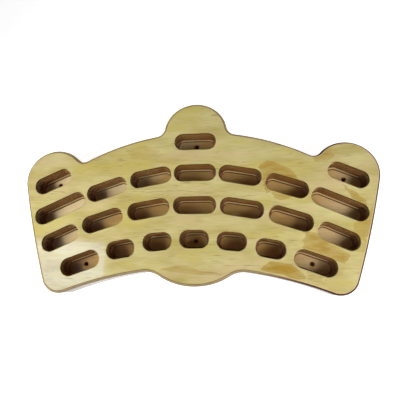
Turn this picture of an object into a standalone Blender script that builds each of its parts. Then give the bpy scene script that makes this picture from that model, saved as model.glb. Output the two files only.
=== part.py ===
"""Climbing hangboard: an arched plywood board with a lobe, two ears and twenty-four finger pockets.

The board is two five-ply sheets glued face to face. Every veneer is its own object. The pockets go right
through the first plies and stop on the next one, and six countersunk screw holes go on from their floors.
Metres, +Z up. The front faces -Y, and the wall face lies in the plane Y = 0.
"""

from math import acos, atan2, ceil, cos, pi, radians, sin, sqrt

import bmesh
import bpy
from mathutils import Matrix, Vector

# Plies
PLY_THICKNESS = 0.0037
GLUE_LINE = 0.0003
POCKET_PLIES = 7
PLIES = [
    "front_sheet_face",
    "front_sheet_crossband_outer",
    "front_sheet_core",
    "front_sheet_crossband_inner",
    "front_sheet_back",
    "rear_sheet_face",
    "rear_sheet_crossband_outer",
    "rear_sheet_core",
    "rear_sheet_crossband_inner",
    "rear_sheet_wall_face",
]

# Outline: circles by centre height and radius, edges by crest height and radius
LOBE_Z = 0.136
LOBE_RADIUS = 0.0585
LOBE_NECK_RADIUS = 0.018
UPPER_EDGE_CREST_Z = 0.1375
UPPER_EDGE_RADIUS = 0.432
NOTCH_RADIUS = 0.015
EAR_RADIUS = 0.0555
SIDE_RADIUS = 1.5
CORNER_RADIUS = 0.0325
LOWER_EDGE_CREST_Z = -0.109
LOWER_EDGE_RADIUS = 0.640
CHIN_Z = -0.027
CHIN_RADIUS = 0.112
CHIN_NECK_RADIUS = 0.042
FRONT_EDGE_ROUND = 0.005

# Pockets
POCKET_WIDTH = 0.030
POCKET_LENGTH = 0.075
SMALL_POCKET_LENGTH = 0.050
SIDE_POCKET_LENGTH = 0.070
LONG_POCKET_LENGTH = 0.097
POCKET_COVE = 0.0042
MOUTH_EASE = 0.0015
TOP_POCKET_Z = 0.118
# Each row: crest height, radius of its arc, pocket length, gap in x, tilts in degrees from the centre out
UPPER_ROW = (0.0585, 0.475, POCKET_LENGTH, 0.005, (10.5, 18.5))
MIDDLE_ROW = (-0.001, 0.540, POCKET_LENGTH, 0.007, (9.5, 18.0))
LOWER_ROW = (-0.0605, 0.500, SMALL_POCKET_LENGTH, 0.014, (5.0, 10.0))
ROWS = [UPPER_ROW, MIDDLE_ROW, LOWER_ROW]
# Each side pocket: the row it ends, gap in x after that row, z, tilt in degrees, length
SIDE_POCKETS = [
    (UPPER_ROW, 0.0340, 0.048, 24.5, SIDE_POCKET_LENGTH),
    (UPPER_ROW, 0.0032, -0.003, 24.5, LONG_POCKET_LENGTH),
    (MIDDLE_ROW, 0.0054, -0.057, 24.5, SIDE_POCKET_LENGTH),
    (LOWER_ROW, 0.0123, -0.1005, 19.5, SIDE_POCKET_LENGTH),
]
# The ear stands around the first side pocket and the corner outside the last one
EAR_FROM_POCKET = (-0.002, 0.0055)
CORNER_FROM_POCKET_X = 0.0355

# Screw holes, at the middle of the pockets that hold them
SCREW_HOLE_RADIUS = 0.0025
COUNTERSINK_RADIUS = 0.0045

# Facets
OUTLINE_SAGITTA = 0.0005
POCKET_END_SIDES = 6
COVE_SIDES = 3
EDGE_ROUND_SIDES = 3
HOLE_SIDES = 12
CUTTER_OVERRUN = 0.001
CONE_OVERRUN = 0.0002

PITCH = PLY_THICKNESS + GLUE_LINE
BOARD_THICKNESS = len(PLIES) * PITCH - GLUE_LINE
FRONT_Y = -BOARD_THICKNESS
POCKET_FLOOR_Y = FRONT_Y + POCKET_PLIES * PITCH

# Colours: long-grain plies are pale, crossbands show end grain and are darker
LONG_GRAIN_COLOUR = (0.62, 0.50, 0.25, 1.0)
CROSS_GRAIN_COLOUR = (0.36, 0.22, 0.10, 1.0)


def clear_scene():
    for obj in list(bpy.data.objects):
        bpy.data.objects.remove(obj, do_unlink=True)


def new_collection(name, hidden=False):
    collection = bpy.data.collections.new(name)
    bpy.context.scene.collection.children.link(collection)
    collection.hide_render = hidden
    return collection


def wood(name, colour):
    material = bpy.data.materials.new(name)
    material.use_nodes = True
    shader = material.node_tree.nodes["Principled BSDF"]
    shader.inputs["Base Color"].default_value = colour
    shader.inputs["Roughness"].default_value = 0.45
    shader.inputs["Metallic"].default_value = 0.0
    return material


# Outline


def circles_meet(centre_a, radius_a, centre_b, radius_b):
    """The point where two circles cross, on the right-hand side of the line from centre a to centre b."""
    apart = centre_b - centre_a
    gap = apart.length
    along = (gap * gap + radius_a * radius_a - radius_b * radius_b) / (2 * gap)
    across = sqrt(radius_a * radius_a - along * along)
    direction = apart / gap
    return centre_a + direction * along + Vector((direction.y, -direction.x)) * across


def arc(centre, radius, start, end):
    """Points from the direction of one point to that of another, going clockwise unless radius is below 0."""
    first = atan2(start.y - centre.y, start.x - centre.x)
    last = atan2(end.y - centre.y, end.x - centre.x)
    sweep = (first - last) % (2 * pi)
    if radius < 0:
        sweep -= 2 * pi
    radius = abs(radius)
    count = max(2, ceil(abs(sweep) / (2 * acos(1 - OUTLINE_SAGITTA / radius))))
    turns = [first - sweep * i / count for i in range(count + 1)]
    return [centre + radius * Vector((cos(turn), sin(turn))) for turn in turns]


def outline_points():
    """The board's outline, clockwise from the top of the lobe, right half first and then its mirror image."""
    first_side, last_side = side_pocket_places()[0], side_pocket_places()[-1]
    lobe = Vector((0, LOBE_Z))
    upper = Vector((0, UPPER_EDGE_CREST_Z - UPPER_EDGE_RADIUS))
    ear = Vector((first_side[0], first_side[1])) + Vector(EAR_FROM_POCKET)
    lower = Vector((0, LOWER_EDGE_CREST_Z - LOWER_EDGE_RADIUS))
    corner_x = last_side[0] + CORNER_FROM_POCKET_X
    corner_rise = sqrt((LOWER_EDGE_RADIUS + CORNER_RADIUS) ** 2 - corner_x**2)
    corner = Vector((corner_x, lower.y + corner_rise))
    chin = Vector((0, CHIN_Z))

    neck = circles_meet(upper, UPPER_EDGE_RADIUS + LOBE_NECK_RADIUS, lobe, LOBE_RADIUS + LOBE_NECK_RADIUS)
    notch = circles_meet(ear, EAR_RADIUS + NOTCH_RADIUS, upper, UPPER_EDGE_RADIUS + NOTCH_RADIUS)
    crease = circles_meet(chin, CHIN_RADIUS + CHIN_NECK_RADIUS, lower, LOWER_EDGE_RADIUS - CHIN_NECK_RADIUS)
    if crease.x < 0:
        crease.x = -crease.x

    # The side is a long arc that touches the ear and the corner from outside
    side = circles_meet(ear, SIDE_RADIUS - EAR_RADIUS, corner, SIDE_RADIUS - CORNER_RADIUS)

    lobe_top = lobe + Vector((0, LOBE_RADIUS))
    chin_bottom = chin - Vector((0, CHIN_RADIUS))
    half = []
    half += arc(lobe, LOBE_RADIUS, lobe_top, neck)
    half += arc(neck, -LOBE_NECK_RADIUS, lobe, upper)
    half += arc(upper, UPPER_EDGE_RADIUS, neck, notch)
    half += arc(notch, -NOTCH_RADIUS, upper, ear)
    half += arc(ear, EAR_RADIUS, notch, 2 * ear - side)
    half += arc(side, SIDE_RADIUS, ear, corner)
    half += arc(corner, CORNER_RADIUS, 2 * corner - side, lower)
    half += arc(lower, -LOWER_EDGE_RADIUS, corner, crease)
    half += arc(crease, -CHIN_NECK_RADIUS, crease + (crease - lower), chin)
    half += arc(chin, CHIN_RADIUS, crease, chin_bottom)
    joined = [half[0]]
    for point in half[1:]:
        if (point - joined[-1]).length > OUTLINE_SAGITTA:
            joined.append(point)
    mirrored = [Vector((-p.x, p.y)) for p in reversed(joined[1:-1])]
    return joined + mirrored


# Pockets


def row_x(row, index):
    """How far from the centre a row's pocket is: 0 is the middle one."""
    _crest, _radius, length, gap, _tilts = row
    return index * (length + gap)


def half_span(length, tilt):
    """How far a tilted pocket reaches in x from its middle."""
    return (length - POCKET_WIDTH) / 2 * cos(radians(tilt)) + POCKET_WIDTH / 2


def side_pocket_places():
    """The right-hand side pockets as x, z, tilt in degrees and length."""
    places = []
    for row, gap, z, tilt, length in SIDE_POCKETS:
        _crest, _radius, row_length, _gap, tilts = row
        row_end = row_x(row, len(tilts)) + half_span(row_length, tilts[-1])
        places.append((row_end + gap + half_span(length, tilt), z, tilt, length))
    return places


def pocket_places():
    """Every pocket as x, z, tilt in radians (positive turns its right end up) and length."""
    places = [(0, TOP_POCKET_Z, 0, POCKET_LENGTH)]
    for row in ROWS:
        crest, radius, length, _gap, tilts = row
        places.append((0, crest, 0, length))
        for index, tilt in enumerate(tilts, start=1):
            x = row_x(row, index)
            z = crest - radius + sqrt(radius * radius - x * x)
            places += both_sides(x, z, tilt, length)
    for x, z, tilt, length in side_pocket_places():
        places += both_sides(x, z, tilt, length)
    return places


def both_sides(x, z, tilt, length):
    return [(x, z, -radians(tilt), length), (-x, z, radians(tilt), length)]


def screw_places():
    """The middles of the pockets with a screw hole: top, lower row's middle, first and last side pockets."""
    lower_crest = LOWER_ROW[0]
    places = [(0, TOP_POCKET_Z), (0, lower_crest)]
    for x, z, _tilt, _length in (side_pocket_places()[0], side_pocket_places()[-1]):
        places += [(x, z), (-x, z)]
    return places


def pocket_loop(x, z, tilt, length, grow=0.0):
    """A slot with round ends, as a closed loop; grow widens it all round."""
    reach = (length - POCKET_WIDTH) / 2
    radius = POCKET_WIDTH / 2 + grow
    along = Vector((cos(tilt), sin(tilt)))
    across = Vector((-along.y, along.x))
    middle = Vector((x, z))
    loop = []
    for side in (1, -1):
        for i in range(POCKET_END_SIDES + 1):
            turn = pi / 2 - pi * i / POCKET_END_SIDES
            loop.append(middle + side * (along * (reach + radius * cos(turn)) + across * radius * sin(turn)))
    return loop


# Solids


def flat_solid(name, loops, front_y, back_y, collection):
    """A solid from flat outlines, standing in the XZ plane between two depths."""
    curve = bpy.data.curves.new(name, "CURVE")
    curve.dimensions = "2D"
    curve.fill_mode = "BOTH"
    curve.extrude = (back_y - front_y) / 2
    for loop in loops:
        spline = curve.splines.new("POLY")
        spline.points.add(len(loop) - 1)
        for point, place in zip(spline.points, loop):
            point.co = (place.x, place.y, 0, 1)
        spline.use_cyclic_u = True
    drawn = bpy.data.objects.new(name + "_outline", curve)
    drawn.location = (0, (front_y + back_y) / 2, 0)
    drawn.rotation_euler = (pi / 2, 0, 0)
    collection.objects.link(drawn)
    bpy.context.view_layer.update()

    mesh = bpy.data.meshes.new_from_object(drawn.evaluated_get(bpy.context.evaluated_depsgraph_get()))
    mesh.transform(drawn.matrix_world)
    bpy.data.objects.remove(drawn, do_unlink=True)
    bm = bmesh.new()
    bm.from_mesh(mesh)
    bmesh.ops.remove_doubles(bm, verts=bm.verts, dist=1e-6)
    bmesh.ops.dissolve_limit(bm, angle_limit=radians(0.5), verts=bm.verts, edges=bm.edges)
    bmesh.ops.recalc_face_normals(bm, faces=bm.faces)
    bm.to_mesh(mesh)
    bm.free()
    mesh.name = name
    solid = bpy.data.objects.new(name, mesh)
    collection.objects.link(solid)
    return solid


def bevel_rim(solid, y, width, sides):
    """Round or chamfer the solid's rim at one depth."""
    bm = bmesh.new()
    bm.from_mesh(solid.data)
    rim = [e for e in bm.edges if all(abs(v.co.y - y) < 1e-6 for v in e.verts)]
    bmesh.ops.bevel(bm, geom=rim, offset=width, segments=sides, profile=0.5, affect="EDGES")
    bm.to_mesh(solid.data)
    bm.free()


def cylinder(radius_front, radius_back, front_y, back_y):
    """A round plug, or a cone, along Y, as a new bmesh."""
    bm = bmesh.new()
    bmesh.ops.create_cone(
        bm,
        cap_ends=True,
        segments=HOLE_SIDES,
        radius1=radius_front,
        radius2=radius_back,
        depth=back_y - front_y,
    )
    return bm


def screw_cutter(collection):
    """The six countersunk holes: a straight shank hole and a cone that opens on the pocket floor."""
    cone_depth = COUNTERSINK_RADIUS - SCREW_HOLE_RADIUS
    front = POCKET_FLOOR_Y - CUTTER_OVERRUN
    tools = []
    for index, (x, z) in enumerate(screw_places()):
        shank = cylinder(SCREW_HOLE_RADIUS, SCREW_HOLE_RADIUS, front, CUTTER_OVERRUN)
        tools.append(place_tool(f"shank_{index}", shank, x, z, (front + CUTTER_OVERRUN) / 2, collection))
        overrun = CONE_OVERRUN
        wide, narrow = COUNTERSINK_RADIUS + overrun, SCREW_HOLE_RADIUS - overrun
        mouth, bottom = POCKET_FLOOR_Y - overrun, POCKET_FLOOR_Y + cone_depth + overrun
        cone = cylinder(wide, narrow, mouth, bottom)
        tools.append(place_tool(f"countersink_{index}", cone, x, z, (mouth + bottom) / 2, collection))
    return tools


def place_tool(name, bm, x, z, y, collection):
    """Turn a plug made along Z to run along Y, wide end in front, and put it in place."""
    mesh = bpy.data.meshes.new(name)
    bm.to_mesh(mesh)
    bm.free()
    tool = bpy.data.objects.new(name, mesh)
    tool.location = (x, y, z)
    tool.rotation_euler = (-pi / 2, 0, 0)
    collection.objects.link(tool)
    return tool


def show_as_cutter(tool):
    tool.hide_render = True
    tool.display_type = "WIRE"


def cut(solid, tool, operation="DIFFERENCE"):
    """Cut a tool out of a solid with a Boolean modifier. INTERSECT keeps only what lies inside the tool."""
    modifier = solid.modifiers.new("cut_" + tool.name, "BOOLEAN")
    modifier.operation = operation
    modifier.solver = "EXACT"
    modifier.object = tool


def rounded_blank(outline, collection):
    """The whole board with its front edge rounded, from which the front plies are sliced."""
    blank = flat_solid("rounded_blank", [outline], FRONT_Y, 0, collection)
    bevel_rim(blank, FRONT_Y, FRONT_EDGE_ROUND, EDGE_ROUND_SIDES)
    return blank


def sheet_of_veneer(name, outline, front_y, back_y, collection):
    """A plain square sheet, larger than the board, at one ply's depth."""
    width = 2 * max(point.length for point in outline) + CUTTER_OVERRUN
    bm = bmesh.new()
    bmesh.ops.create_cube(bm, size=1.0)
    mesh = bpy.data.meshes.new(name)
    bm.to_mesh(mesh)
    bm.free()
    mesh.transform(Matrix.Diagonal((width, back_y - front_y, width, 1)))
    sheet = bpy.data.objects.new(name, mesh)
    sheet.location = (0, (front_y + back_y) / 2, 0)
    collection.objects.link(sheet)
    return sheet


def pocket_cutter(collection):
    """All the pockets as one tool: a bull-nosed plug each, with a cove round its floor."""
    loops = [pocket_loop(*place) for place in pocket_places()]
    tool = flat_solid("pocket_cutter", loops, FRONT_Y - CUTTER_OVERRUN, POCKET_FLOOR_Y, collection)
    bevel_rim(tool, POCKET_FLOOR_Y, POCKET_COVE, COVE_SIDES)
    return tool


def mouth_cutter(collection):
    """Eases the rim of every pocket: a shallow cone that is wider than the pocket at the board's face."""
    wide = MOUTH_EASE + CONE_OVERRUN
    deep = FRONT_Y + MOUTH_EASE + CONE_OVERRUN
    loops = [pocket_loop(*place, grow=wide) for place in pocket_places()]
    tool = flat_solid("mouth_cutter", loops, FRONT_Y - CUTTER_OVERRUN, deep, collection)
    bevel_rim(tool, deep, wide + CONE_OVERRUN, 1)
    return tool


def build():
    clear_scene()
    board = new_collection("hangboard")
    cutters = new_collection("cutters", hidden=True)
    long_grain = wood("long_grain_veneer", LONG_GRAIN_COLOUR)
    cross_grain = wood("cross_grain_veneer", CROSS_GRAIN_COLOUR)

    outline = outline_points()
    pockets = pocket_cutter(cutters)
    mouths = mouth_cutter(cutters)
    screws = screw_cutter(cutters)
    blank = rounded_blank(outline, cutters)
    for tool in [pockets, mouths, blank, *screws]:
        show_as_cutter(tool)

    for index, name in enumerate(PLIES):
        front_y = FRONT_Y + index * PITCH
        back_y = front_y + PLY_THICKNESS
        if index * PITCH < FRONT_EDGE_ROUND:
            overrun = CUTTER_OVERRUN if index == 0 else 0
            ply = sheet_of_veneer(name, outline, front_y - overrun, back_y, board)
            cut(ply, blank, "INTERSECT")
        else:
            ply = flat_solid(name, [outline], front_y, back_y, board)
        ply.data.materials.append(cross_grain if "crossband" in name else long_grain)
        if index == 0:
            cut(ply, mouths)
        if index < POCKET_PLIES:
            cut(ply, pockets)
        else:
            for tool in screws:
                cut(ply, tool)


build()
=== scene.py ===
"""Looks for the climbing hangboard: the board is shaped and cut whole, then sliced into its ten veneers.

Metres, +Z up. The face looks towards -Y and the wall face lies at Y = 0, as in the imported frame.
"""

from collections import namedtuple
from functools import reduce
from math import atan2, ceil, cos, pi, radians, sin, sqrt

import bmesh
import bpy
from mathutils import Matrix, Vector


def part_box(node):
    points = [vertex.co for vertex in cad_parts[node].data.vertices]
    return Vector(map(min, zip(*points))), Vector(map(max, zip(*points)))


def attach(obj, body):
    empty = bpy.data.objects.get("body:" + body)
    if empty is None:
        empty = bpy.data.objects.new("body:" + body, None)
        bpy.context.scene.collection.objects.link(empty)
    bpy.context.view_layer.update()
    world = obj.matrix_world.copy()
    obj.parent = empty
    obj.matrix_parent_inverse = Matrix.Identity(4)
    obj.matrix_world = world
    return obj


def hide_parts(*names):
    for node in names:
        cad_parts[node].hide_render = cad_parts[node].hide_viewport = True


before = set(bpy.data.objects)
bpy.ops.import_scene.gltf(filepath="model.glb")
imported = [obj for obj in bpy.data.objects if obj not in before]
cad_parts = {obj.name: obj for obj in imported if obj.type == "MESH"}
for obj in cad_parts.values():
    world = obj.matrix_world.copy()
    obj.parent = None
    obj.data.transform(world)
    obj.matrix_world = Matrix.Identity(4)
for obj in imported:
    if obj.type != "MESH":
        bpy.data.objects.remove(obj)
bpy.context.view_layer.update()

# The veneers from the face to the wall, with the finish that each one takes
VENEERS = {
    "front_sheet_face": "face_veneer",
    "front_sheet_crossband_outer": "crossband_veneer",
    "front_sheet_core": "long_grain_veneer",
    "front_sheet_crossband_inner": "crossband_veneer",
    "front_sheet_back": "long_grain_veneer",
    "rear_sheet_face": "long_grain_veneer",
    "rear_sheet_crossband_outer": "crossband_veneer",
    "rear_sheet_core": "long_grain_veneer",
    "rear_sheet_crossband_inner": "crossband_veneer",
    "rear_sheet_wall_face": "face_veneer",
}
FACE_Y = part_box("front_sheet_face")[0].y
FLOOR_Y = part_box("rear_sheet_core")[0].y
WALL_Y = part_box("rear_sheet_wall_face")[1].y
POCKET_DEPTH = FLOOR_Y - FACE_Y
SHEET_JOINT = (WALL_Y - FACE_Y) / 2
VENEER_PITCH = (WALL_Y - FACE_Y) / len(VENEERS)
# How far a cutter starts outside the wood, and how near to a plane still counts as on it
OVERRUN = 0.001

# Outline: circles by centre height and radius, edges by crest height and radius
LOBE_Z = 0.136
LOBE_RADIUS = 0.0585
LOBE_NECK_RADIUS = 0.018
UPPER_EDGE_CREST_Z = 0.1375
UPPER_EDGE_RADIUS = 0.432
NOTCH_RADIUS = 0.015
EAR_RADIUS = 0.0555
SIDE_RADIUS = 1.5
CORNER_RADIUS = 0.0325
LOWER_EDGE_CREST_Z = -0.109
LOWER_EDGE_RADIUS = 0.640
CHIN_Z = -0.027
CHIN_RADIUS = 0.112
CHIN_NECK_RADIUS = 0.042
OUTLINE_STEP = 0.002
FEWEST_STEPS = 3
FRONT_EDGE_ROUND = 0.005
FRONT_EDGE_STEPS = 10
# Points nearer than this are welded, and edges flatter than this many degrees are shaded smooth
WELD = 0.0001
SMOOTH_BELOW = 35

# Pockets: the cove and the mouth's ease are quarter circles, by radius and steps
POCKET_WIDTH = 0.030
POCKET_LENGTH = 0.075
SMALL_POCKET_LENGTH = 0.050
SIDE_POCKET_LENGTH = 0.070
LONG_POCKET_LENGTH = 0.097
POCKET_SIDES = 64
COVE = 0.0065
COVE_STEPS = 8
MOUTH_EASE = 0.0015
EASE_STEPS = 4
TOP_POCKET_Z = 0.118

# An arched row: the height of its crest, its radius, the pockets' length, the gap between them in x, and
# their tilts in degrees from the centre out
Row = namedtuple("Row", "crest_z radius length gap tilts")
UPPER_ROW = Row(0.0585, 0.475, POCKET_LENGTH, 0.005, (10.5, 18.5))
MIDDLE_ROW = Row(-0.001, 0.540, POCKET_LENGTH, 0.007, (9.5, 18.0))
LOWER_ROW = Row(-0.0605, 0.500, SMALL_POCKET_LENGTH, 0.014, (5.0, 10.0))

# A side pocket: the row that it stands beyond, the gap in x after that row, its height, tilt and length
SidePocket = namedtuple("SidePocket", "row gap z tilt length")
SIDE_POCKETS = [
    SidePocket(UPPER_ROW, 0.0340, 0.048, 24.5, SIDE_POCKET_LENGTH),
    SidePocket(UPPER_ROW, 0.0032, -0.003, 24.5, LONG_POCKET_LENGTH),
    SidePocket(MIDDLE_ROW, 0.0054, -0.057, 24.5, SIDE_POCKET_LENGTH),
    SidePocket(LOWER_ROW, 0.0123, -0.1005, 19.5, SIDE_POCKET_LENGTH),
]
# The ear stands around the first side pocket and the corner outside the last one
EAR_FROM_POCKET = Vector((-0.002, 0.0055))
CORNER_FROM_POCKET_X = 0.0355

# A pocket: its middle, its tilt in degrees (positive turns its right end down) and its length
Pocket = namedtuple("Pocket", "x z tilt length")

# Screw holes
SCREW_HOLE_RADIUS = 0.0025
COUNTERSINK_RADIUS = 0.0045
SCREW_HOLE_SIDES = 32

# The mark that a face keeps where a bit has cut into the board, and how square to Y a sawn face lies
POCKET_MARK = "pocket"
FLAT = 0.9999

# Camera: place in metres, angles in degrees and lens in millimetres
CAMERA_PLACE = (0.0684, -0.6150, -0.1330)
CAMERA_TURN, CAMERA_RISE, CAMERA_ROLL = 5.8126, 13.719, 0.4127
CAMERA_LENS = 30.663

# Stage
BACKDROP_SIZE = 4.0
BACKDROP_FLOOR_Z = -0.95
BACKDROP_GLOW = 0.9
BACKDROP_GREY = (0.45, 0.45, 0.45, 1.0)
# The backdrop is painted dark behind a screw hole, as shade, and turns pale between these distances from
# the hole's middle
HOLE_SHADE = (0.010, 0.012)
HOLE_PAINTED_SHADE = (0.02, 0.015, 0.01, 1.0)

AMBIENT = 0.03
# Each lamp: name, place, the point it is aimed at, size, power in watts and spread in degrees
LAMPS = [
    ("left_key", (-0.75, -0.47, -0.18), (-0.24, FACE_Y, 0), 0.3, 0.66, 60),
    ("right_key", (0.75, -0.47, -0.22), (0.24, FACE_Y, 0), 0.3, 0.40, 60),
    ("right_low_softbox", (0.62, -0.70, -0.64), (0.28, FACE_Y, -0.10), 0.4, 0.40, 50),
    ("left_low_softbox", (-0.55, -0.70, -0.64), (-0.22, FACE_Y, -0.10), 0.4, 0.18, 50),
    ("top_softbox", (0, -0.28, 0.55), (0, FACE_Y, 0), 0.4, 0.85, 180),
    ("low_softbox", (0, -0.25, -0.55), (0, FACE_Y, 0), 0.4, 1.60, 180),
    ("back_left_softbox", (-0.8, 0.9, 0.5), (0, WALL_Y, 0), 0.6, 8.0, 180),
    ("back_right_softbox", (0.8, 0.9, 0.5), (0, WALL_Y, 0), 0.6, 8.0, 180),
]
# The card is seen only in the lacquer, where it makes the glare at the lower left corner
CARD = ("left_card", (-0.53, -0.60, -0.14), (-0.16, FACE_Y, -0.14), 0.3, 1.90, 180)
CARD_BLUE = (0.50, 0.64, 1.0)


# Colours


def srgb(red, green, blue):
    """A colour as a picture shows it, made linear."""
    return (*[((c / 255 + 0.055) / 1.055) ** 2.4 for c in (red, green, blue)], 1.0)


STRAW = srgb(213, 200, 135)
OLIVE = srgb(182, 162, 80)
ROSE = srgb(210, 184, 132)
LEAF = srgb(200, 182, 88)
HONEY = srgb(170, 132, 8)
BARK = srgb(132, 104, 50)
FLOOR_TAN = srgb(227, 190, 121)
FLOOR_BROWN = srgb(194, 153, 88)
# Painted light on the pocket floors
FLOOR_LIT = srgb(248, 226, 174)
WALL_TAN = srgb(132, 88, 40)
WALL_BROWN = srgb(104, 66, 34)
# End grain and painted shade on the pocket ends
END_GRAIN_AND_SHADE = srgb(82, 46, 30)
# Painted light near the mouth of a pocket's end wall
END_OLIVE_LIGHT = srgb(116, 90, 48)
COVE_BROWN = srgb(124, 80, 42)
COVE_END = srgb(136, 92, 60)
# Painted shade at the pockets' outer ends
END_SHADE = srgb(120, 62, 38)
# Painted highlight in the cove
COVE_HIGHLIGHT = srgb(222, 187, 131)
# Painted highlight on a pocket's lip
MOUTH_HIGHLIGHT = srgb(240, 218, 160)
ROUND_OLIVE = srgb(126, 108, 58)
ROUND_GREY = srgb(190, 164, 122)
# Painted shade on the round where it looks down
ROUND_SHADE = srgb(132, 116, 84)
# Painted glint and painted shade on the round at the right and far left
ROUND_TAN_GLINT = srgb(226, 190, 138)
ROUND_BROWN_SHADE = srgb(60, 38, 22)
FLANK_TAN = srgb(184, 146, 90)
FLANK_BROWN = srgb(140, 104, 62)
FLANK_GREY = srgb(186, 168, 146)
GLUE = srgb(66, 42, 24)
SCREW_BROWN = srgb(150, 92, 50)
# Painted shade deep in a screw hole
SCREW_HOLE_SHADE = srgb(8, 5, 4)
WHITE = (1.0, 1.0, 1.0, 1.0)

# A pair below is where a change starts and where it is complete: in metres behind the face, across the
# board or from what is named, in a noise's own 0 to 1, or in how far a surface looks along an axis. A name
# that ends in MUCH is the share of a colour that is laid over another.

# Patterns by their cells per metre: along the grain, across it and through the board
WANDER_CELLS = (6, 12, 9)
CLOUD_CELLS = (14, 45, 45)
TINT_CELLS = (6, 20, 30)
FLECK_CELLS = (40, 480, 480)
CROWD_CELLS = (9, 28, 28)
DASH_CELLS = (40, 560, 560)
# Patterns that don't follow the grain: in x, y and z, and for the stains in x and z
PORE_CELLS = (500, 500, 500)
END_GRAIN_CELLS = (600, 900, 600)
RAGGED_X_CELLS, RAGGED_Z_CELLS = (20, 160), (45, 45)
STAIN_MOTTLE_CELLS = (25, 80)
NOISE_MEAN = 0.5

# Grain: how far it wanders sideways, where its dashes crowd and show, and what makes a spot darker
GRAIN_WANDER = 0.02
DASH_CROWD = (0.42, 0.62)
DASH_CORE = (0.62, 0.7)
CLOUD_DARKENS = 1.6
FLECK_DARKENS = 0.6
MEAN_DARKNESS = 0.45

# Face: clouds of rose and leaf, weaker on the wall side by what the front adds
FRONT_ALONE = (0.01, 0.02)
ROSE_CLOUD, ROSE_MUCH, ROSE_FRONT_ADDS = (0.5, 0.68), 0.3, 0.4
LEAF_CLOUD, LEAF_MUCH, LEAF_FRONT_ADDS = (0.34, 0.5), 0.2, 0.5
FACE_DASH_MUCH = 0.5

# Honey-coloured stains on the face: corners clockwise (x and z in millimetres), and strength. A stain lies
# on the inner side of all its lines from corner to corner, so a corner that bends inwards trims it
MILLIMETRES_PER_METRE = 1000
STAINS = [
    ([(112, 68), (125, 78), (137, 77), (150, 72), (162, 64), (173, 56), (182, 43), (124, 16)], 0.85),
    ([(132, 24), (156, 20), (184, 13), (164, 7), (147, 4), (137, 8)], 0.8),
    ([(226, 86), (241, 85), (260, 71), (281, 69), (294, 58), (298, 44), (258, 56), (228, 72)], 0.45),
    ([(250, 34), (264, 27), (274, 17), (290, 5), (293, -6), (277, -3), (263, 8)], 0.75),
    ([(274, -26), (298, -2), (298, -24), (288, -52), (280, -68), (266, -58), (259, -38)], 0.6),
    ([(190, -46), (208, -52), (238, -74), (256, -89), (244, -102), (180, -79), (180, -62)], 0.8),
    ([(113, -103), (127, -97), (160, -100), (168, -106), (183, -121), (180, -127), (168, -126),
      (113, -112)], 1.0),
    ([(182, -109), (207, -120), (211, -134), (184, -128)], 0.4),
    ([(232, -97), (244, -108), (240, -122), (226, -124)], 0.35),
    ([(-60, -110), (-32, -103), (2, -107), (30, -114), (54, -119), (44, -127), (2, -121),
      (-48, -122)], 0.6),
    ([(206, 90), (222, 98), (238, 96), (246, 82), (228, 70), (208, 74)], 0.55),
    ([(46, 116), (72, 123), (60, 110), (44, 96), (42, 70), (32, 72), (38, 98)], 0.3),
    ([(-134, 108), (-92, 116), (-62, 101), (-82, 84), (-112, 84)], 0.3),
]
# How deep inside its outline each layer of a stain starts, and its part of the strength
STAIN_LAYERS = [(0.0, 0.7), (0.005, 0.18), (0.011, 0.12)]
STAIN_EDGE = 0.002
STAIN_RAGGED_X, STAIN_RAGGED_Z = 0.012, 0.008
STAIN_MOTTLE, STAIN_LEAST, STAIN_MOTTLE_ADDS = (0.35, 0.6), 0.75, 0.4

# Pocket floors: painted light makes them paler towards both ends of the board, more so on the left, along
# a line that leans
LIT_LEFT, LIT_LEFT_LEAN = (-0.175, -0.13), 1.25
LIT_RIGHT, LIT_RIGHT_LEAN, LIT_RIGHT_MUCH = (0.19, 0.25), 0.5, 0.55
# Painted shade on the floor spreads from the middle of a pocket's outer end, and is stronger on the left
END_SHADE_REACH = (0.006, 0.018)
END_SHADE_LEFT, END_SHADE_MUCH, END_SHADE_LEFT_ADDS = (-0.1, 0.1), 0.12, 0.23
PORE, PORE_MUCH = (0.5, 0.7), 0.25
FLOOR_DASH_MUCH = 0.15

# End grain, by how far a cut looks along X, on a veneer with its grain along X and on one with it upright
END_GRAIN, END_GRAIN_UPRIGHT = (0.1, 0.8), (0.2, 0.9)
END_GRAIN_MUCH, END_GRAIN_MOTTLE = 0.8, 0.5
# Keeps the end grain's division off zero on flat faces
NOT_ZERO = 0.01

# Outer edge: on the right and at the far left its round has a painted tan glint and then painted brown
# shade, partly the plies' own colours
GLINT_AND_SHADE_RIGHT = (0.06, 0.20)
GLINT_AND_SHADE_LEFT = (-0.31, -0.29)
# Painted shade on the round where it looks down, between these slopes
LOOKS_DOWN = (-0.75, -0.35)
OLIVE_RIM = (0.0003, 0.0006)
GLINT_TO_SHADE = (0.0002, 0.0004)
FLANK_START = (0.0044, 0.0054)
REAR_SHEET, REAR_SHEET_MUCH = (SHEET_JOINT, SHEET_JOINT + 0.0002), 0.5
JOINT_LINE, JOINT_MUCH = (0.0006, 0.0011), 0.9

# Pocket walls: the end wall is darker, as end grain and as painted shade, except at the end that looks
# away from the board's middle, which is paler as painted light
END_WALL, SIDE_WALL = (0.15, 0.6), (0.15, 0.5)
WALL_END_GRAIN_MUCH = 0.5
LIT_END, LIT_END_PALER = (0.03, 0.10), 0.8
# Painted shade: the end wall is olive near the mouth and darkens deeper in
END_LIGHT_DEPTH, END_LIGHT_MUCH = (0.006, 0.016), 0.8
MOUTH_LINE, MOUTH_LINE_MUCH = (0.0015, 0.0030), 0.8
# Painted highlight on the lip at the lit end of a pocket, between these depths
MOUTH_HIGHLIGHT_DEPTH = (0.0008, 0.0016)
COVE_START = (POCKET_DEPTH - COVE - 0.0004, POCKET_DEPTH - COVE + 0.0004)
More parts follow.
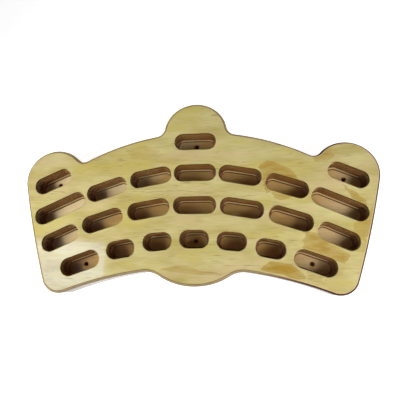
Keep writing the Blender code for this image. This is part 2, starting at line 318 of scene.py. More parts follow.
# The lines round a pocket's floor, in glue colour and pale as painted highlights, by how far the cove has
# turned from the wall, at 0, to the floor, at 1
COVE_LINES = [
    ((0.36, 0.44), GLUE, 0.9),
    ((0.54, 0.60), COVE_HIGHLIGHT, 1.0),
    ((0.80, 0.84), GLUE, 0.9),
    ((0.95, 0.97), COVE_HIGHLIGHT, 1.0),
]
SCREW_RING = (POCKET_DEPTH + 0.0002, POCKET_DEPTH + 0.0004)
# Below the countersink the hole is painted black, as shade, between these depths
SCREW_HOLE = (POCKET_DEPTH + 0.0016, POCKET_DEPTH + 0.0020)

# Glue lines between the plies: half a line, in veneer thicknesses, and the depths that they show between
PLY_LINE = (0.05, 0.11)
PLY_LINES_START = (0.005, 0.006)
PLY_LINES_END = (POCKET_DEPTH - COVE, POCKET_DEPTH)
PLY_LINE_MUCH, PLY_LINE_END_GRAIN_ADDS = 0.3, 0.4

# Where lacquered veneer turns into cut wood: by slope at the outer edge, and by depth at a pocket's mouth,
# sooner at its top, whose lip looks down, so that the dark line there is partly painted shade
EDGE_SLOPE = (0.004, 0.02)
LIP = (0.0003, 0.0007)
SHADED_TOP_LIP = (0.00002, 0.00008)
TOP_WALL = (-0.3, -0.1)

# Lacquer: it lies on the face and on the flank that looks down, and is thin elsewhere
FLOOR_SQUARE = (-0.9, -0.8)
FLOOR_DEPTH = (POCKET_DEPTH - 0.002, POCKET_DEPTH - 0.001)
LOWER_FLANK = (-0.85, -0.6)
THIN_COAT = 0.03
COAT_ROUGHNESS = 0.08
SPECULAR = 0.06
ROUGHNESS, FLECK_ROUGHENS, HOLE_ROUGHENS = 0.42, 0.14, 0.5
FLECK_HEIGHT, DASH_SINKS = 0.6, 0.5
BUMP_STRENGTH, BUMP_DISTANCE = 0.2, 0.0003


# Handwork


def only(obj):
    """Select one object alone."""
    bpy.ops.object.select_all(action="DESELECT")
    obj.select_set(True)
    bpy.context.view_layer.objects.active = obj


def open_up(obj):
    """Go into edit mode on one object, with all of it selected."""
    only(obj)
    bpy.ops.object.mode_set(mode="EDIT")
    bpy.ops.mesh.select_all(action="SELECT")


def close_up():
    bpy.ops.object.mode_set(mode="OBJECT")


def pick_vertices(obj, wanted):
    """In edit mode, select the vertices whose place passes the test."""
    bpy.ops.mesh.select_mode(type="VERT")
    bm = bmesh.from_edit_mesh(obj.data)
    for vertex in bm.verts:
        vertex.select_set(wanted(vertex.co))
    bm.select_flush_mode()
    bmesh.update_edit_mesh(obj.data)


def face_outwards():
    """In edit mode, turn every face of a closed shape outwards."""
    bpy.ops.mesh.select_all(action="SELECT")
    bpy.ops.mesh.normals_make_consistent(inside=False)


def apply_modifier(obj, kind, **settings):
    only(obj)
    modifier = obj.modifiers.new(kind.title(), kind)
    for key, value in settings.items():
        setattr(modifier, key, value)
    bpy.ops.object.modifier_apply(modifier=modifier.name)


def copy_of(obj, name):
    only(obj)
    bpy.ops.object.duplicate()
    made = bpy.context.active_object
    made.name = made.data.name = name
    return made


def scrap(obj):
    bpy.data.objects.remove(obj, do_unlink=True)


def push(depth):
    """Extrude what is selected into the board."""
    bpy.ops.mesh.extrude_region_move(TRANSFORM_OT_translate={"value": (0, depth, 0)})


def quarter_steps(count):
    """Angles that cut a quarter circle into steps, as pairs."""
    turns = [pi / 2 * i / count for i in range(count + 1)]
    return list(zip(turns, turns[1:]))


# Outline


def circles_meet(centre_a, radius_a, centre_b, radius_b):
    """Where two circles cross, on the right-hand side of the line from centre a to centre b."""
    apart = centre_b - centre_a
    gap = apart.length
    along = (gap * gap + radius_a * radius_a - radius_b * radius_b) / (2 * gap)
    across = sqrt(radius_a * radius_a - along * along)
    direction = apart / gap
    return centre_a + direction * along + Vector((direction.y, -direction.x)) * across


def outline_arcs():
    """The right half's arcs, from the top of the lobe round to the chin.

    Each has its centre, the two points that its ends lie towards, and whether it runs clockwise.
    """
    side_pockets = side_pocket_places()
    lobe = Vector((0, LOBE_Z))
    upper = Vector((0, UPPER_EDGE_CREST_Z - UPPER_EDGE_RADIUS))
    ear = Vector((side_pockets[0].x, side_pockets[0].z)) + EAR_FROM_POCKET
    lower = Vector((0, LOWER_EDGE_CREST_Z - LOWER_EDGE_RADIUS))
    corner_x = side_pockets[-1].x + CORNER_FROM_POCKET_X
    corner = Vector((corner_x, lower.y + sqrt((LOWER_EDGE_RADIUS + CORNER_RADIUS) ** 2 - corner_x**2)))
    chin = Vector((0, CHIN_Z))

    lobe_outside = LOBE_RADIUS + LOBE_NECK_RADIUS
    neck = circles_meet(upper, UPPER_EDGE_RADIUS + LOBE_NECK_RADIUS, lobe, lobe_outside)
    notch = circles_meet(ear, EAR_RADIUS + NOTCH_RADIUS, upper, UPPER_EDGE_RADIUS + NOTCH_RADIUS)
    chin_outside = CHIN_RADIUS + CHIN_NECK_RADIUS
    crease = circles_meet(chin, chin_outside, lower, LOWER_EDGE_RADIUS - CHIN_NECK_RADIUS)
    crease.x = abs(crease.x)
    side = circles_meet(ear, SIDE_RADIUS - EAR_RADIUS, corner, SIDE_RADIUS - CORNER_RADIUS)
    return [
        (lobe, lobe + Vector((0, 1)), neck, True),
        (neck, lobe, upper, False),
        (upper, neck, notch, True),
        (notch, upper, ear, False),
        (ear, notch, 2 * ear - side, True),
        (side, ear, corner, True),
        (corner, 2 * corner - side, lower, True),
        (lower, corner, crease, False),
        (crease, 2 * crease - lower, chin, False),
        (chin, crease, chin - Vector((0, 1)), True),
    ]


def draw_outline():
    """Spin one vertex round every arc of the right half, then mirror the line and fill it."""
    bpy.ops.mesh.primitive_plane_add(size=OUTLINE_STEP, location=(0, 0, 0))
    board = bpy.context.active_object
    board.name = board.data.name = "board_blank"
    open_up(board)
    bpy.ops.mesh.merge(type="CENTER")
    tip = Vector((0, LOBE_Z + LOBE_RADIUS))
    bpy.ops.transform.translate(value=(tip.x, FACE_Y, tip.y))
    for centre, start, end, clockwise in outline_arcs():
        first = atan2(start.y - centre.y, start.x - centre.x)
        last = atan2(end.y - centre.y, end.x - centre.x)
        turn = -((first - last) % (2 * pi)) if clockwise else (last - first) % (2 * pi)
        radius = (tip - centre).length
        steps = max(FEWEST_STEPS, ceil(abs(turn) * radius / OUTLINE_STEP))
        bpy.ops.mesh.spin(steps=steps, angle=turn, center=(centre.x, FACE_Y, centre.y), axis=(0, 1, 0))
        tip = centre + radius * Vector((cos(last), sin(last)))
    close_up()
    apply_modifier(board, "MIRROR", use_clip=True, merge_threshold=WELD)
    open_up(board)
    bpy.ops.mesh.remove_doubles(threshold=WELD)
    bpy.ops.mesh.edge_face_add()
    return board


def make_blank():
    """The whole board, uncut, with its front edge rounded."""
    board = draw_outline()
    push(WALL_Y - FACE_Y)
    face_outwards()
    pick_vertices(board, lambda place: place.y < FACE_Y + OVERRUN)
    bpy.ops.mesh.bevel(offset=FRONT_EDGE_ROUND, segments=FRONT_EDGE_STEPS, affect="EDGES")
    close_up()
    return board


# Pockets


def row_x(row, index):
    """How far from the centre a row's pocket is: 0 is the middle one."""
    return index * (row.length + row.gap)


def half_span(length, tilt):
    """How far a tilted pocket reaches in x from its middle."""
    return (length - POCKET_WIDTH) / 2 * cos(radians(tilt)) + POCKET_WIDTH / 2


def side_pocket_places():
    """The side pockets on the right."""
    places = []
    for row, gap, z, tilt, length in SIDE_POCKETS:
        row_end = row_x(row, len(row.tilts)) + half_span(row.length, row.tilts[-1])
        places.append(Pocket(row_end + gap + half_span(length, tilt), z, tilt, length))
    return places


def pocket_places():
    """Every pocket. The ones on the right are mirrored to the left."""
    right = side_pocket_places()
    centre = [Pocket(0, TOP_POCKET_Z, 0, POCKET_LENGTH)]
    for row in (UPPER_ROW, MIDDLE_ROW, LOWER_ROW):
        centre.append(Pocket(0, row.crest_z, 0, row.length))
        for index, tilt in enumerate(row.tilts, start=1):
            x = row_x(row, index)
            z = row.crest_z - row.radius + sqrt(row.radius * row.radius - x * x)
            right.append(Pocket(x, z, tilt, row.length))
    left = [Pocket(-x, z, -tilt, length) for x, z, tilt, length in right]
    return centre + right + left


def screw_places():
    """The middles (x and z) of the pockets with a screw hole.

    These are the top one, the lower row's middle one, and the first and last side pockets.
    """
    places = [(0, TOP_POCKET_Z), (0, LOWER_ROW.crest_z)]
    side_pockets = side_pocket_places()
    for pocket in (side_pockets[0], side_pockets[-1]):
        places += [(pocket.x, pocket.z), (-pocket.x, pocket.z)]
    return places


def pocket_plug(length):
    """What a pocket's bit takes out: an eased mouth, straight sides and a coved foot."""
    # Turned by half a side, the circle has no corner at x = 0, so its halves can be drawn apart
    bpy.ops.mesh.primitive_circle_add(
        vertices=POCKET_SIDES,
        radius=POCKET_WIDTH / 2 + MOUTH_EASE,
        fill_type="NGON",
        location=(0, FACE_Y - OVERRUN, 0),
        rotation=(-pi / 2, pi / POCKET_SIDES, 0),
    )
    plug = bpy.context.active_object
    bpy.ops.object.transform_apply()
    open_up(plug)
    for side in (1, -1):
        pick_vertices(plug, lambda place: place.x * side > 0)
        bpy.ops.transform.translate(value=(side * (length - POCKET_WIDTH) / 2, 0, 0))
    bpy.ops.mesh.select_all(action="SELECT")
    bpy.ops.mesh.select_mode(type="FACE")
    push(OVERRUN)
    for start, end in quarter_steps(EASE_STEPS):
        inward, deeper = MOUTH_EASE * (sin(end) - sin(start)), MOUTH_EASE * (cos(start) - cos(end))
        bpy.ops.mesh.inset(thickness=inward, depth=deeper, use_even_offset=True)
    push(FLOOR_Y - COVE - FACE_Y - MOUTH_EASE)
    for start, end in quarter_steps(COVE_STEPS):
        inward, deeper = COVE * (cos(start) - cos(end)), COVE * (sin(end) - sin(start))
        bpy.ops.mesh.inset(thickness=inward, depth=deeper, use_even_offset=True)
    face_outwards()
    close_up()
    return plug


def screw_hole_plug():
    """A countersink that opens on the pocket floor, and the hole that goes on through the board."""
    mouth = COUNTERSINK_RADIUS + OVERRUN
    bpy.ops.mesh.primitive_circle_add(
        vertices=SCREW_HOLE_SIDES,
        radius=mouth,
        fill_type="NGON",
        location=(0, FLOOR_Y - OVERRUN, 0),
        rotation=(-pi / 2, 0, 0),
    )
    plug = bpy.context.active_object
    bpy.ops.object.transform_apply()
    open_up(plug)
    bpy.ops.mesh.select_mode(type="FACE")
    cone = mouth - SCREW_HOLE_RADIUS
    bpy.ops.mesh.extrude_region()
    bpy.ops.transform.translate(value=(0, cone, 0))
    narrowing = SCREW_HOLE_RADIUS / mouth
    bpy.ops.transform.resize(value=(narrowing, 1, narrowing))
    push(WALL_Y + OVERRUN - (FLOOR_Y - OVERRUN + cone))
    face_outwards()
    close_up()
    return plug


def set_out(plug, places):
    """Mark a plug's faces, copy it to its places (x, z and tilt in degrees) and join the copies."""
    mark = plug.data.attributes.new(POCKET_MARK, "FLOAT", "FACE")
    for face in mark.data:
        face.value = 1
    copies = []
    for x, z, tilt in places:
        made = copy_of(plug, plug.name)
        made.location = (x, 0, z)
        made.rotation_euler = (0, radians(tilt), 0)
        copies.append(made)
    scrap(plug)
    bpy.ops.object.select_all(action="DESELECT")
    for made in copies:
        made.select_set(True)
    bpy.context.view_layer.objects.active = copies[0]
    bpy.ops.object.join()
    bpy.ops.object.transform_apply()
    return bpy.context.active_object


def cut_out(board, plug):
    apply_modifier(board, "BOOLEAN", operation="DIFFERENCE", solver="EXACT", object=plug)
    scrap(plug)


# Veneers


def make_boards():
    """The board with its pockets, for the veneers in front, and the board with its screw holes alone."""
    pocketed = make_blank()
    drilled = copy_of(pocketed, "drilled_board")
    pockets = pocket_places()
    for length in sorted({pocket.length for pocket in pockets}):
        places = [(pocket.x, pocket.z, pocket.tilt) for pocket in pockets if pocket.length == length]
        cut_out(pocketed, set_out(pocket_plug(length), places))
    cut_out(drilled, set_out(screw_hole_plug(), [(x, z, 0) for x, z in screw_places()]))
    return pocketed, drilled


def slice_veneer(board, name, front_y, back_y):
    """Saw one veneer out of the board, and take the pockets' mark off its flat faces."""
    veneer = copy_of(board, name)
    open_up(veneer)
    saw = {"plane_no": (0, 1, 0), "use_fill": True}
    if front_y > FACE_Y + OVERRUN:
        bpy.ops.mesh.bisect(plane_co=(0, front_y, 0), clear_inner=True, **saw)
    bpy.ops.mesh.select_all(action="SELECT")
    if back_y < WALL_Y - OVERRUN:
        bpy.ops.mesh.bisect(plane_co=(0, back_y, 0), clear_outer=True, **saw)
    close_up()
    mark = veneer.data.attributes[POCKET_MARK]
    for face in veneer.data.polygons:
        if abs(face.normal.y) > FLAT:
            mark.data[face.index].value = 0
    return veneer


def make_veneers(materials):
    pocketed, drilled = make_boards()
    for node, slot in VENEERS.items():
        low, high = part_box(node)
        board = pocketed if low.y < FLOOR_Y else drilled
        veneer = slice_veneer(board, node + "_wood", low.y, high.y)
        only(veneer)
        bpy.ops.object.shade_smooth_by_angle(angle=radians(SMOOTH_BELOW))
        apply_modifier(veneer, "WEIGHTED_NORMAL", keep_sharp=True)
        veneer.data.materials.clear()
        veneer.data.materials.append(materials[slot])
        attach(veneer, "root")
        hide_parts(node)
    scrap(pocketed)
    scrap(drilled)


# Shader maths


class Signal:
    """A value that runs between shader nodes. Sums on it add Math nodes."""

    def __init__(self, shader, socket):
        self.shader = shader
        self.socket = socket

    def maths(self, operation, *others):
        """A Math node with this value first and then the others."""
        return self.shader.maths(operation, self, *others)

    def __add__(self, other):
        return self.maths("ADD", other)

    def __sub__(self, other):
        return self.maths("SUBTRACT", other)

    def __rsub__(self, other):
        return self.shader.maths("SUBTRACT", other, self)

    def __mul__(self, other):
        return self.maths("MULTIPLY", other)

    def __truediv__(self, other):
        return self.maths("DIVIDE", other)

    def __rtruediv__(self, other):
        return self.shader.maths("DIVIDE", other, self)

    def __neg__(self):
        return 0 - self

    def __abs__(self):
        return self.maths("ABSOLUTE")

    __radd__ = __add__
    __rmul__ = __mul__

    def off_whole(self):
        """How far it is from the nearest whole number."""
        return abs((self + 0.5).maths("FRACT") - 0.5)

    def lower_of(self, other):
        return self.maths("MINIMUM", other)

    def higher_of(self, other):
        return self.maths("MAXIMUM", other)

    def rise(self, low, high):
        """0 below low, 1 above high, and a smooth step between."""
        sockets = {"Value": self, "From Min": low, "From Max": high}
        return self.shader.add("MapRange", {"interpolation_type": "SMOOTHSTEP"}, sockets)

    def fall(self, low, high):
        """1 below low, 0 above high, and a smooth step between."""
        return 1 - self.rise(low, high)


def lowest(signals):
    """The lowest of several values."""
    return reduce(Signal.lower_of, signals)


class Shader:
    """One material and its nodes."""

    def __init__(self, name):
        self.material = bpy.data.materials.new(name)
        self.material.use_nodes = True
        self.tree = self.material.node_tree

    def add(self, kind, settings, sockets, output=0):
        """Add a node: its settings are set first, then its sockets' values or links. Gives one output."""
        node = self.tree.nodes.new("ShaderNode" + kind)
        for key, value in settings.items():
            setattr(node, key, value)
        for key, value in sockets.items():
            self.plug(node.inputs[key], value)
        return Signal(self, node.outputs[output])

    def plug(self, socket, value):
        if isinstance(value, Signal):
            self.tree.links.new(value.socket, socket)
        else:
            socket.default_value = value

    def maths(self, operation, *values):
        return self.add("Math", {"operation": operation}, dict(enumerate(values)))

    def split(self, vector):
        """The three numbers of a vector."""
        node = self.add("SeparateXYZ", {}, {"Vector": vector}).socket.node
        return [Signal(self, socket) for socket in node.outputs]

    def distance(self, place, point):
        return self.add("VectorMath", {"operation": "DISTANCE"}, {0: place, 1: point}, "Value")

    def noise(self, x, y, z, detail=2.0, roughness=0.5):
        """Cloud noise with a mean of about a half, on a place that is already scaled."""
        place = self.add("CombineXYZ", {}, {"X": x, "Y": y, "Z": z})
        sockets = {"Vector": place, "Scale": 1.0, "Detail": detail, "Roughness": roughness}
        return self.add("TexNoise", {}, sockets)

    def fade(self, share, first, second):
        """One number into another. A Mix node has its numbers at 2 and 3."""
        return self.add("Mix", {}, {0: share, 2: first, 3: second})

    def blend(self, share, first, second):
        """One colour into another. A Mix node has its colours at 6 and 7, and their mix at output 2."""
        return self.add("Mix", {"data_type": "RGBA"}, {0: share, 6: first, 7: second}, output=2)


# Wood


class Wood(Shader):
    """A veneer with its grain along X or Z: the places, slopes and patterns that its colours come from."""

    def __init__(self, name, along):
        super().__init__(name)
        self.x, self.y, self.z = self.split(self.add("TexCoord", {}, {}, "Object"))
        self.normal_x, self.normal_y, self.normal_z = self.split(self.add("TexCoord", {}, {}, "Normal"))
        self.depth = self.y - FACE_Y
        self.pocket = self.add("Attribute", {"attribute_name": POCKET_MARK}, {}, "Fac")
        self.run, self.across = (self.x, self.z) if along == "X" else (self.z, self.x)
        self.wandering = self.across + self.grain(*WANDER_CELLS, detail=1) * GRAIN_WANDER
        self.fleck = self.grain(*FLECK_CELLS, wanders=True)
        crowd = self.grain(*CROWD_CELLS, shift=3).rise(*DASH_CROWD)
        dashes = self.grain(*DASH_CELLS, shift=7, wanders=True, detail=1)
        self.dash = dashes.rise(*DASH_CORE) * crowd
        self.steep = 1 - self.normal_y * self.normal_y
        self.endwise = self.normal_x * self.normal_x / (self.steep + NOT_ZERO)
        ends = self.endwise.rise(*END_GRAIN) if along == "X" else self.endwise.fall(*END_GRAIN_UPRIGHT)
        mottle = (self.speckle(*END_GRAIN_CELLS) - NOISE_MEAN) * END_GRAIN_MOTTLE
        self.ends = ends * END_GRAIN_MUCH + mottle

    def grain(self, along, across, through, shift=0, wanders=False, detail=2.0, roughness=0.5):
        """Noise drawn out along the grain. A shift keeps it from repeating another one's pattern."""
        sideways = self.wandering if wanders else self.across
        run = self.run * along + shift
        return self.noise(run, sideways * across, self.y * through, detail, roughness)

    def speckle(self, x, y, z):
        """Fine noise that doesn't follow the grain."""
        return self.noise(self.x * x, self.y * y, self.z * z, detail=1)

    def flat_noise(self, x, z, layer, detail):
        """Noise that is the same at every depth. Each layer is another pattern."""
        return self.noise(self.x * x, layer, self.z * z, detail)


def depth_inside(wood, place, corners):
    """How far a place lies inside the nearest side of an outline, in metres. It is below 0 outside."""
    points = [Vector((x, 0, z)) / MILLIMETRES_PER_METRE for x, z in corners]
    depths = []
    for start, end in zip(points, points[1:] + points[:1]):
        inward = Vector((end.z - start.z, 0, start.x - end.x)).normalized()
        reach = wood.add("VectorMath", {"operation": "DOT_PRODUCT"}, {0: place, 1: inward}, "Value")
        depths.append(reach - inward.dot(start))
    return lowest(depths)


def paint_stains(wood, colour, front):
    """Lay the stains on the front in steps, like the rings that a knife has peeled through."""
    ragged_x = (wood.flat_noise(*RAGGED_X_CELLS, layer=0.0, detail=1) - NOISE_MEAN) * STAIN_RAGGED_X
    ragged_z = (wood.flat_noise(*RAGGED_Z_CELLS, layer=5.0, detail=1) - NOISE_MEAN) * STAIN_RAGGED_Z
    place = wood.add("CombineXYZ", {}, {"X": wood.x + ragged_x, "Z": wood.z + ragged_z})
    mottle = wood.flat_noise(*STAIN_MOTTLE_CELLS, layer=9.0, detail=3).rise(*STAIN_MOTTLE)
    mottle = mottle * STAIN_MOTTLE_ADDS + STAIN_LEAST
    for corners, strength in STAINS:
        inside = depth_inside(wood, place, corners)
        layers = [
            inside.rise(start, start + STAIN_EDGE) * (part * strength) for start, part in STAIN_LAYERS
        ]
        colour = wood.blend(sum(layers) * front * mottle, colour, HONEY)
    return colour


def face_colour(wood, colour):
    """The veneers that are seen from the front and from the wall. Only the front has stains."""
    front = wood.depth.fall(*FRONT_ALONE)
    tint = wood.grain(*TINT_CELLS, shift=9, detail=3, roughness=0.65)
    rose = tint.rise(*ROSE_CLOUD) * (front * ROSE_FRONT_ADDS + ROSE_MUCH)
    colour = wood.blend(rose, colour, ROSE)
    leaf = tint.fall(*LEAF_CLOUD) * (front * LEAF_FRONT_ADDS + LEAF_MUCH)
    colour = wood.blend(leaf, colour, LEAF)
    colour = paint_stains(wood, colour, front)
    return wood.blend(wood.dash * FACE_DASH_MUCH, colour, BARK)


def end_shade_share(wood):
    """1 at the outer end of each long pocket, where shade is painted on the floor."""
    place = wood.add("CombineXYZ", {}, {"X": wood.x, "Z": wood.z})
    gaps = []
    for pocket in pocket_places():
        if pocket.x == 0 or pocket.length == SMALL_POCKET_LENGTH:
            continue
        tilt = radians(pocket.tilt)
        outward = (pocket.length - POCKET_WIDTH) / 2 * (1 if pocket.x > 0 else -1)
        end = (pocket.x + outward * cos(tilt), 0, pocket.z - outward * sin(tilt))
        gaps.append(wood.distance(place, end))
    return lowest(gaps).fall(*END_SHADE_REACH)


def floor_colour(wood, colour, dark):
    """The inner veneers, whose flat side is seen on the pocket floors, with painted light and shade on
    them.
    """
    # Painted light: the floors turn paler towards both ends of the board, more so on the left
    lit_left = (wood.x - wood.z * LIT_LEFT_LEAN).fall(*LIT_LEFT)
    lit_right = (wood.x - wood.z * LIT_RIGHT_LEAN).rise(*LIT_RIGHT)
    colour = wood.blend(lit_left + lit_right * LIT_RIGHT_MUCH, colour, FLOOR_LIT)
    # Painted shade darkens each long pocket's floor at its outer end
    end_shade = wood.x.fall(*END_SHADE_LEFT) * END_SHADE_LEFT_ADDS + END_SHADE_MUCH
    colour = wood.blend(end_shade_share(wood) * end_shade, colour, END_SHADE)
    colour = wood.blend(wood.speckle(*PORE_CELLS).rise(*PORE) * PORE_MUCH, colour, dark)
    return wood.blend(wood.dash * FLOOR_DASH_MUCH, colour, BARK)


def edge_colour(wood):
    """The board's outer edge: its round in front, with painted light and shade, then the flank with the
    two sheets glued together.
    """
    flank = wood.blend(wood.ends, FLANK_TAN, FLANK_BROWN)
    flank = wood.blend(wood.depth.rise(*REAR_SHEET) * REAR_SHEET_MUCH, flank, FLANK_GREY)
    joint = abs(wood.depth - SHEET_JOINT).fall(*JOINT_LINE)
    flank = wood.blend(joint * JOINT_MUCH, flank, GLUE)
    # Painted shade on the round where it looks down
    plain_rim = wood.blend(wood.normal_z.fall(*LOOKS_DOWN), ROUND_GREY, ROUND_SHADE)
    plain_rim = wood.blend(wood.depth.rise(*OLIVE_RIM), ROUND_OLIVE, plain_rim)
    # Painted light and shade on the round at the right and far left: a tan glint, then brown shade
    glint_and_shade = wood.blend(wood.depth.rise(*GLINT_TO_SHADE), ROUND_TAN_GLINT, ROUND_BROWN_SHADE)
    front = wood.blend(wood.x.rise(*GLINT_AND_SHADE_RIGHT) + wood.x.fall(*GLINT_AND_SHADE_LEFT), plain_rim, glint_and_shade)
    return wood.blend(wood.depth.rise(*FLANK_START), front, flank)


def pocket_colour(wood):
    """A pocket's mouth, its wall, the lines in its cove, and the screw hole in its floor, with painted
    light and shade.
    """
    # Painted light and shade on the pocket ends: the end that looks away from the board's middle is paler,
    # the others darker
    lit_end = (wood.normal_x * wood.x).rise(*LIT_END)
    end_wall = wood.endwise.rise(*END_WALL) * (1 - lit_end * LIT_END_PALER)
    # The end wall darkens from olive at the mouth to brown deeper in: painted shade
    end_colour = wood.blend(wood.depth.fall(*END_LIGHT_DEPTH) * END_LIGHT_MUCH, END_GRAIN_AND_SHADE, END_OLIVE_LIGHT)
    wall = wood.blend(wood.ends * WALL_END_GRAIN_MUCH, WALL_TAN, WALL_BROWN)
    wall = wood.blend(end_wall, wall, end_colour)
    wall = wood.blend(wood.depth.fall(*MOUTH_LINE) * MOUTH_LINE_MUCH, wall, GLUE)
    # Painted highlight on the mouth's lip at the lit end
    wall = wood.blend(wood.depth.fall(*MOUTH_HIGHLIGHT_DEPTH) * lit_end, wall, MOUTH_HIGHLIGHT)
    cove = wood.depth.rise(*COVE_START)
    wall = wood.blend(cove, wall, wood.blend(end_wall, COVE_BROWN, COVE_END))
    side_cove = cove * wood.endwise.fall(*SIDE_WALL)
    # Along the side walls the cove gets dark lines and pale painted highlights
    for start_and_end, colour, much in COVE_LINES:
        wall = wood.blend(side_cove * (-wood.normal_y).rise(*start_and_end) * much, wall, colour)
    wall = wood.blend(wood.depth.rise(*SCREW_RING), wall, SCREW_BROWN)
    # Painted shade: the hole is black below the countersink
    return wood.blend(wood.depth.rise(*SCREW_HOLE), wall, SCREW_HOLE_SHADE)


def cut_colour(wood):
    """Cut wood, on the outer edge and in the pockets, with glue lines between the plies."""
    cut = wood.blend(wood.pocket, edge_colour(wood), pocket_colour(wood))
    from_joint = (wood.depth / VENEER_PITCH).off_whole()
    line = from_joint.fall(*PLY_LINE) * wood.depth.rise(*PLY_LINES_START) * wood.depth.fall(*PLY_LINES_END)
    return wood.blend(line * (wood.ends * PLY_LINE_END_GRAIN_ADDS + PLY_LINE_MUCH), cut, GLUE)


def cut_share(wood):
    """1 on cut wood, and 0 on the face, the wall side and the pocket floors."""
    # Partly painted shade: on the top lip, which looks down, the dark cut colour starts at the very edge
    shaded_top_lip = wood.depth.rise(*SHADED_TOP_LIP) * wood.normal_z.fall(*TOP_WALL)
    lip = shaded_top_lip.higher_of(wood.depth.rise(*LIP))
    return wood.fade(wood.pocket, wood.steep.rise(*EDGE_SLOPE), lip)


def lacquer(wood, colour, cut):
    """Finish the material: its colour, how rough it is, its relief and its coat."""
    floor = wood.normal_y.fall(*FLOOR_SQUARE) * wood.depth.rise(*FLOOR_DEPTH)
    lower_flank = wood.normal_z.fall(*LOWER_FLANK) * (1 - wood.pocket)
    matt = cut.higher_of(floor) * (1 - lower_flank)
    drilled = wood.depth.rise(*SCREW_RING) * wood.pocket
    height = wood.fleck * FLECK_HEIGHT - wood.dash * DASH_SINKS
    relief = {"Height": height, "Strength": BUMP_STRENGTH, "Distance": BUMP_DISTANCE}
    finish = {
        "Base Color": colour,
        "Roughness": ROUGHNESS + wood.fleck * FLECK_ROUGHENS + drilled * HOLE_ROUGHENS,
        "Normal": wood.add("Bump", {}, relief),
        "Specular IOR Level": SPECULAR,
        "Coat Weight": 1 - matt * (1 - THIN_COAT) - drilled * THIN_COAT,
        "Coat Roughness": COAT_ROUGHNESS,
    }
    for name, value in finish.items():
        wood.plug(wood.tree.nodes["Principled BSDF"].inputs[name], value)


def veneer_wood(name, along, pale, dark, stained=False):
    """Lacquered veneer between a pale and a dark tone, with its own colours where it is cut."""
    wood = Wood(name, along)
    cloud = (wood.grain(*CLOUD_CELLS) - NOISE_MEAN) * CLOUD_DARKENS
    tone = cloud + (wood.fleck - NOISE_MEAN) * FLECK_DARKENS + MEAN_DARKNESS
    colour = wood.blend(tone.rise(0.0, 1.0), pale, dark)
    colour = face_colour(wood, colour) if stained else floor_colour(wood, colour, dark)
    cut = cut_share(wood)
    lacquer(wood, wood.blend(cut, colour, cut_colour(wood)), cut)
    return wood.material


# Stage


def add_camera():
    camera = bpy.data.objects.new("camera", bpy.data.cameras.new("camera"))
    turn = Matrix.Rotation(radians(CAMERA_TURN), 4, "Z")
    rise = Matrix.Rotation(radians(90 + CAMERA_RISE), 4, "X")
    roll = Matrix.Rotation(radians(CAMERA_ROLL), 4, "Z")
    camera.matrix_world = Matrix.Translation(CAMERA_PLACE) @ turn @ rise @ roll
    camera.data.lens = CAMERA_LENS
    bpy.context.scene.collection.objects.link(camera)
    bpy.context.scene.camera = camera


def add_backdrop(name, y, z, tilt):
    """A pale sheet that only the lens sees, and only from its front. It hides and lights nothing."""
    bpy.ops.mesh.primitive_plane_add(size=BACKDROP_SIZE, location=(0, y, z), rotation=(tilt, 0, 0))
    sheet = bpy.context.active_object
    sheet.name = name
    paint = Shader(name)
    behind = paint.add("NewGeometry", {}, {}, "Backfacing")
    spot = paint.add("NewGeometry", {}, {}, "Position")
    holes = [(hole_x, y, hole_z) for hole_x, hole_z in screw_places()]
    # Painted shade: behind each screw hole the sheet is dark and its glow fades out
    pale = lowest([paint.distance(spot, hole) for hole in holes]).rise(*HOLE_SHADE)
    shaded = paint.add("BsdfDiffuse", {}, {"Color": paint.blend(pale, HOLE_PAINTED_SHADE, BACKDROP_GREY)})
    glow = paint.add("Emission", {}, {"Color": WHITE, "Strength": pale * BACKDROP_GLOW})
    front = paint.add("AddShader", {}, {0: shaded, 1: glow})
    clear = paint.add("BsdfTransparent", {}, {})
    either = paint.add("MixShader", {}, {0: behind, 1: front, 2: clear})
    paint.plug(paint.tree.nodes["Material Output"].inputs["Surface"], either)
    sheet.data.materials.append(paint.material)
    for ray in ("diffuse", "glossy", "transmission", "shadow"):
        setattr(sheet, "visible_" + ray, False)


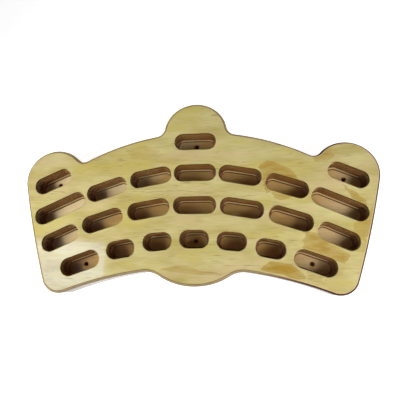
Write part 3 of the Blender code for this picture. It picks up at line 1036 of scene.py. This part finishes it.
def add_world():
    """Dim light from all round. The lens, and what the lacquer mirrors, see it as white."""
    world = bpy.data.worlds.new("studio")
    bpy.context.scene.world = world
    world.use_nodes = True
    nodes, links = world.node_tree.nodes, world.node_tree.links
    dim = nodes["Background"]
    dim.inputs["Color"].default_value = WHITE
    dim.inputs["Strength"].default_value = AMBIENT
    white = nodes.new("ShaderNodeBackground")
    white.inputs["Color"].default_value = WHITE
    rays = nodes.new("ShaderNodeLightPath")
    shader = dim.outputs[0]
    for ray in ("Is Glossy Ray", "Is Transmission Ray", "Is Camera Ray"):
        pick = nodes.new("ShaderNodeMixShader")
        links.new(rays.outputs[ray], pick.inputs[0])
        links.new(shader, pick.inputs[1])
        links.new(white.outputs[0], pick.inputs[2])
        shader = pick.outputs[0]
    links.new(shader, nodes["World Output"].inputs[0])


def add_panel(name, place, aim, size, power, spread):
    """A square lamp that isn't seen in the lacquer."""
    panel = bpy.data.objects.new(name, bpy.data.lights.new(name, "AREA"))
    panel.data.shape = "SQUARE"
    panel.data.size = size
    panel.data.energy = power
    panel.data.spread = radians(spread)
    panel.location = place
    panel.rotation_euler = (Vector(aim) - Vector(place)).to_track_quat("-Z", "Y").to_euler()
    panel.visible_glossy = False
    bpy.context.scene.collection.objects.link(panel)
    return panel


def add_lights():
    for lamp in LAMPS:
        add_panel(*lamp)
    card = add_panel(*CARD)
    card.data.color = CARD_BLUE
    card.visible_diffuse = False
    card.visible_glossy = True


materials = {
    "face_veneer": veneer_wood("face_veneer", "X", STRAW, OLIVE, stained=True),
    "long_grain_veneer": veneer_wood("long_grain_veneer", "X", FLOOR_TAN, FLOOR_BROWN),
    "crossband_veneer": veneer_wood("crossband_veneer", "Z", FLOOR_TAN, FLOOR_BROWN),
}
make_veneers(materials)
add_camera()
add_backdrop("wall", WALL_Y + OVERRUN, 0, pi / 2)
add_backdrop("floor", 0, BACKDROP_FLOOR_Z, 0)
add_world()
add_lights()
bpy.context.scene.view_settings.view_transform = "Standard"
